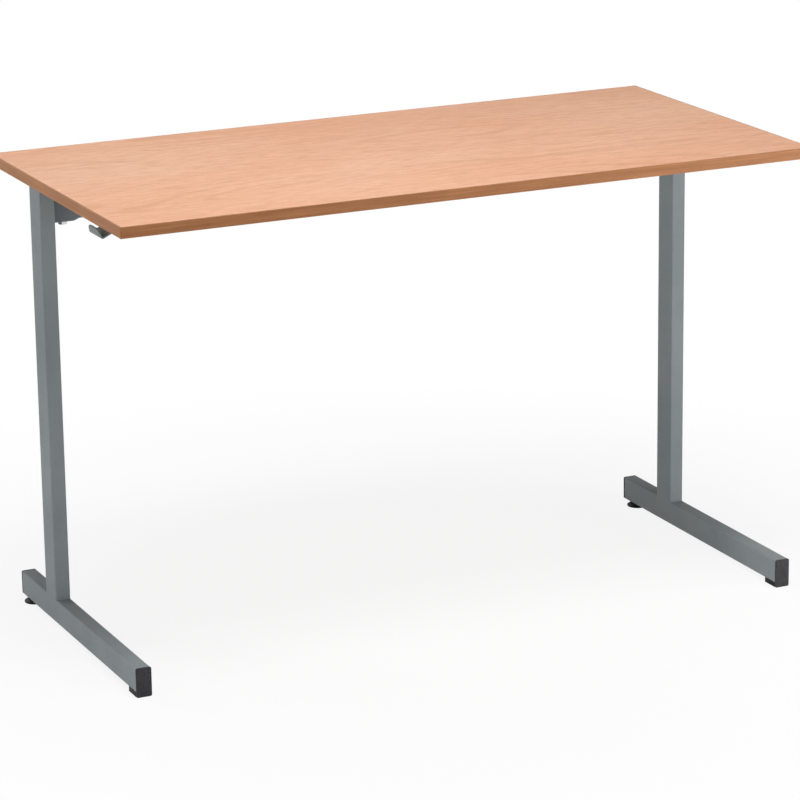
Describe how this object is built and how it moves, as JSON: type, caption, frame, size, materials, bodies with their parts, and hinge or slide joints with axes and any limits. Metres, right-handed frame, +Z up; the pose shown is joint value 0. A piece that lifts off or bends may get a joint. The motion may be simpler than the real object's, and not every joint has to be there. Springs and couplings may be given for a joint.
{
  "type": "double school desk",
  "caption": "Two-seat school desk: a rectangular beech-laminate top on grey cantilever side frames tied by a cross rail, with bag hooks and levelling glides.",
  "frame": {"origin": "on the floor under the middle of the top", "axes": "+X to the right along the length of the top, +Y to the back where the uprights stand, +Z up"},
  "size_m": [1.2, 0.6, 0.76],
  "materials": {
    "chipboard": "raw three-layer particle board",
    "beech_laminate": "satin beech decor laminate, grain along the length",
    "backing": "plain pale balancing laminate",
    "edge_band": "beech decor edging, satin, grain along each edge",
    "frame_paint": "satin mid-grey powder coat on steel tube",
    "hook_paint": "satin grey powder coat on steel strip",
    "zinc": "bright zinc-plated steel",
    "black_plastic": "moulded charcoal polypropylene with a fine grain",
    "glide_plastic": "moulded black nylon, slightly glossy"
  },
  "bodies": {
    "desk_frame": {"board_core": "chipboard", "top_laminate": "beech_laminate", "backing_laminate": "backing", "front_edge_band": "edge_band", "back_edge_band": "edge_band", "left_edge_band": "edge_band", "right_edge_band": "edge_band", "left_upright": "frame_paint", "right_upright": "frame_paint", "left_foot_tube": "frame_paint", "right_foot_tube": "frame_paint", "left_support_arm": "frame_paint", "right_support_arm": "frame_paint", "cross_rail": "frame_paint", "left_rail_bracket": "frame_paint", "right_rail_bracket": "frame_paint", "left_frame_welds": "frame_paint", "right_frame_welds": "frame_paint", "left_rail_bolt": "zinc", "right_rail_bolt": "zinc", "left_rail_washer": "zinc", "right_rail_washer": "zinc", "left_rail_nut": "zinc", "right_rail_nut": "zinc", "left_upright_cap": "black_plastic", "right_upright_cap": "black_plastic", "left_arm_caps": "black_plastic", "right_arm_caps": "black_plastic", "left_front_shoe": "black_plastic", "right_front_shoe": "black_plastic", "left_rear_cap": "black_plastic", "right_rear_cap": "black_plastic", "left_glide_nut": "zinc", "right_glide_nut": "zinc", "left_bag_hook": "hook_paint", "right_bag_hook": "hook_paint", "left_hook_screws": "zinc", "right_hook_screws": "zinc", "left_top_screws": "zinc", "right_top_screws": "zinc"},
    "left_glide": {"left_glide_base": "glide_plastic", "left_glide_stud": "zinc"},
    "right_glide": {"right_glide_base": "glide_plastic", "right_glide_stud": "zinc"}
  },
  "joints": [
    {"name": "left_glide_height", "type": "slide", "parent": "desk_frame", "child": "left_glide", "axis": [0, 0, -1], "range_m": [0, 0.01]},
    {"name": "right_glide_height", "type": "slide", "parent": "desk_frame", "child": "right_glide", "axis": [0, 0, -1], "range_m": [0, 0.01]}
  ]
}
